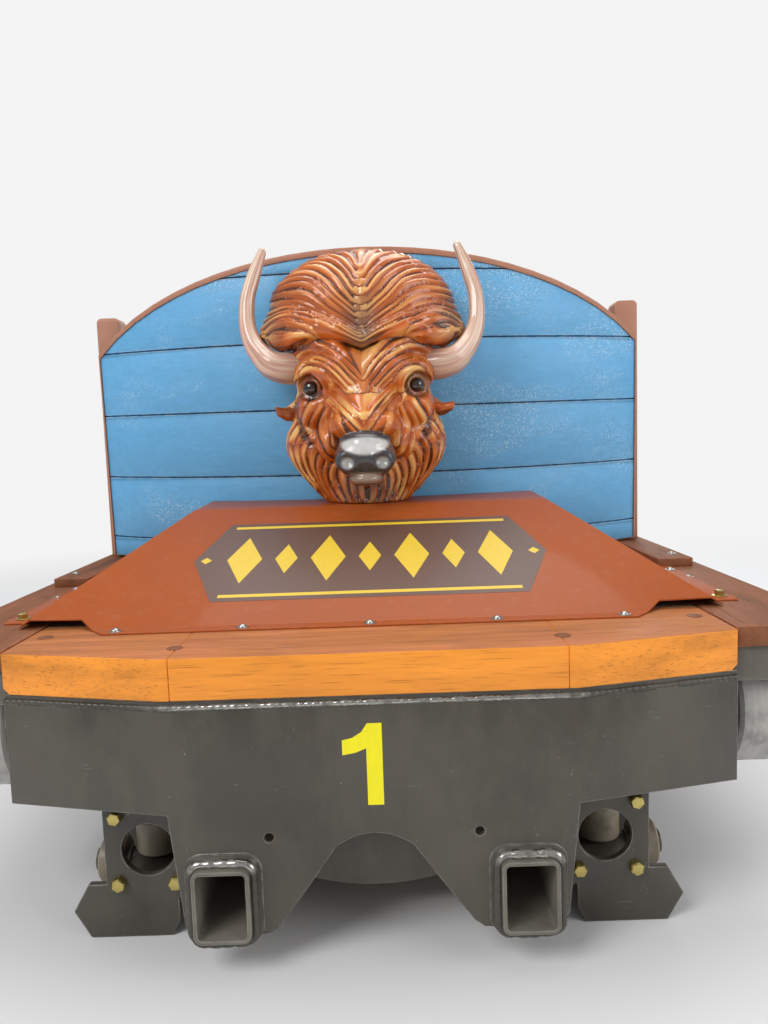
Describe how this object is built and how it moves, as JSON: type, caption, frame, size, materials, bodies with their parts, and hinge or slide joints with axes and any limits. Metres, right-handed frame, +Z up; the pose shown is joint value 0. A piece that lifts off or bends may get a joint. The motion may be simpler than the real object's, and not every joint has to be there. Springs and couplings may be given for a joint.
{
  "type": "roller coaster car",
  "caption": "Front car of a wooden-track coaster train: steel chassis on road, guide and upstop wheels, timber bumper, sloped nose cover, arched plank board with a carved bison head, seats.",
  "frame": {"origin": "middle of the car's length and width, at the lowest edge of the wheel carriers' skid plates", "axes": "+Z up, -Y towards the nose, X across the car"},
  "size_m": [1.38, 2.35, 1.19],
  "materials": {
    "steel": "dark painted plate, satin, scuffed at edges and welds",
    "frame_steel": "dark painted tube, satin",
    "bright_steel": "machined steel, lightly oiled",
    "timber": "oiled hardwood, orange on the front, greyed on top",
    "deck_wood": "weathered brown hardwood boards",
    "floor_wood": "sealed plywood",
    "cover_paint": "brown-orange gloss paint on sheet",
    "blue_planks": "light blue painted planks with worn white flecks",
    "tan_trim": "tan painted edging",
    "batten_wood": "plain softwood",
    "carved_head": "moulded and hand-painted sculpture under clear gloss",
    "tread": "pale grey cast polyurethane tread on a steel hub",
    "seat_wood": "sealed plywood",
    "seat_vinyl": "dark grained vinyl over foam"
  },
  "bodies": {
    "car": {"bumper": "steel", "bumper_timbers": "timber", "nose_cover": "cover_paint", "side_board_left": "deck_wood", "side_board_right": "deck_wood", "step_board_left": "deck_wood", "step_board_right": "deck_wood", "frame_tube_left": "frame_steel", "frame_tube_right": "frame_steel", "cross_members": "frame_steel", "buffer_plate": "frame_steel", "deck_rails": "frame_steel", "deck_bearers": "frame_steel", "deck_floor": "floor_wood", "axle_beam_front": "frame_steel", "axle_beam_rear": "frame_steel", "carrier_front_left": "steel", "carrier_front_right": "steel", "carrier_rear_left": "steel", "carrier_rear_right": "steel", "front_board": "blue_planks", "front_board_trim": "tan_trim", "corner_posts": "tan_trim", "board_battens": "batten_wood", "bison_head": "carved_head", "side_panel_left": "blue_planks", "side_panel_right": "blue_planks", "side_cap_left": "tan_trim", "side_cap_right": "tan_trim", "back_panel": "blue_planks", "back_cap": "tan_trim", "seat_base": "seat_wood", "seat_cushions": "seat_vinyl", "backrests": "seat_vinyl", "seat_back_frame": "seat_wood", "lap_brackets": "steel", "rear_plate": "steel", "rear_coupling": "bright_steel"},
    "road_wheel_front_left": {"road_wheel_front_left": "tread"},
    "road_wheel_front_right": {"road_wheel_front_right": "tread"},
    "road_wheel_rear_left": {"road_wheel_rear_left": "tread"},
    "road_wheel_rear_right": {"road_wheel_rear_right": "tread"},
    "guide_wheel_front_left": {"guide_wheel_front_left": "tread"},
    "guide_wheel_front_right": {"guide_wheel_front_right": "tread"},
    "guide_wheel_rear_left": {"guide_wheel_rear_left": "tread"},
    "guide_wheel_rear_right": {"guide_wheel_rear_right": "tread"},
    "upstop_wheel_front_left": {"upstop_wheel_front_left": "tread"},
    "upstop_wheel_front_right": {"upstop_wheel_front_right": "tread"},
    "upstop_wheel_rear_left": {"upstop_wheel_rear_left": "tread"},
    "upstop_wheel_rear_right": {"upstop_wheel_rear_right": "tread"},
    "lap_bar_left": {"lap_bar_left": "bright_steel", "lap_pad_left": "seat_vinyl"},
    "lap_bar_right": {"lap_bar_right": "bright_steel", "lap_pad_right": "seat_vinyl"}
  },
  "joints": [
    {"name": "road_front_left_spin", "type": "hinge", "parent": "car", "child": "road_wheel_front_left", "pos_m": [-0.588, -0.95, 0.31], "axis": [1, 0, 0], "continuous": true},
    {"name": "road_front_right_spin", "type": "hinge", "parent": "car", "child": "road_wheel_front_right", "pos_m": [0.588, -0.95, 0.31], "axis": [1, 0, 0], "continuous": true},
    {"name": "road_rear_left_spin", "type": "hinge", "parent": "car", "child": "road_wheel_rear_left", "pos_m": [-0.588, 0.7, 0.31], "axis": [1, 0, 0], "continuous": true},
    {"name": "road_rear_right_spin", "type": "hinge", "parent": "car", "child": "road_wheel_rear_right", "pos_m": [0.588, 0.7, 0.31], "axis": [1, 0, 0], "continuous": true},
    {"name": "guide_front_left_spin", "type": "hinge", "parent": "car", "child": "guide_wheel_front_left", "pos_m": [-0.362, -0.95, 0.108], "axis": [0, 0, 1], "continuous": true},
    {"name": "guide_front_right_spin", "type": "hinge", "parent": "car", "child": "guide_wheel_front_right", "pos_m": [0.362, -0.95, 0.108], "axis": [0, 0, 1], "continuous": true},
    {"name": "guide_rear_left_spin", "type": "hinge", "parent": "car", "child": "guide_wheel_rear_left", "pos_m": [-0.362, 0.7, 0.108], "axis": [0, 0, 1], "continuous": true},
    {"name": "guide_rear_right_spin", "type": "hinge", "parent": "car", "child": "guide_wheel_rear_right", "pos_m": [0.362, 0.7, 0.108], "axis": [0, 0, 1], "continuous": true},
    {"name": "upstop_front_left_spin", "type": "hinge", "parent": "car", "child": "upstop_wheel_front_left", "pos_m": [-0.435, -0.95, 0.062], "axis": [1, 0, 0], "continuous": true},
    {"name": "upstop_front_right_spin", "type": "hinge", "parent": "car", "child": "upstop_wheel_front_right", "pos_m": [0.435, -0.95, 0.062], "axis": [1, 0, 0], "continuous": true},
    {"name": "upstop_rear_left_spin", "type": "hinge", "parent": "car", "child": "upstop_wheel_rear_left", "pos_m": [-0.435, 0.7, 0.062], "axis": [1, 0, 0], "continuous": true},
    {"name": "upstop_rear_right_spin", "type": "hinge", "parent": "car", "child": "upstop_wheel_rear_right", "pos_m": [0.435, 0.7, 0.062], "axis": [1, 0, 0], "continuous": true},
    {"name": "lap_bar_left_lift", "type": "hinge", "parent": "car", "child": "lap_bar_left", "pos_m": [-0.29, -0.02, 0.533], "axis": [1, 0, 0], "range_deg": [0, 47]},
    {"name": "lap_bar_right_lift", "type": "hinge", "parent": "car", "child": "lap_bar_right", "pos_m": [0.29, -0.02, 0.533], "axis": [1, 0, 0], "range_deg": [0, 47]}
  ]
}
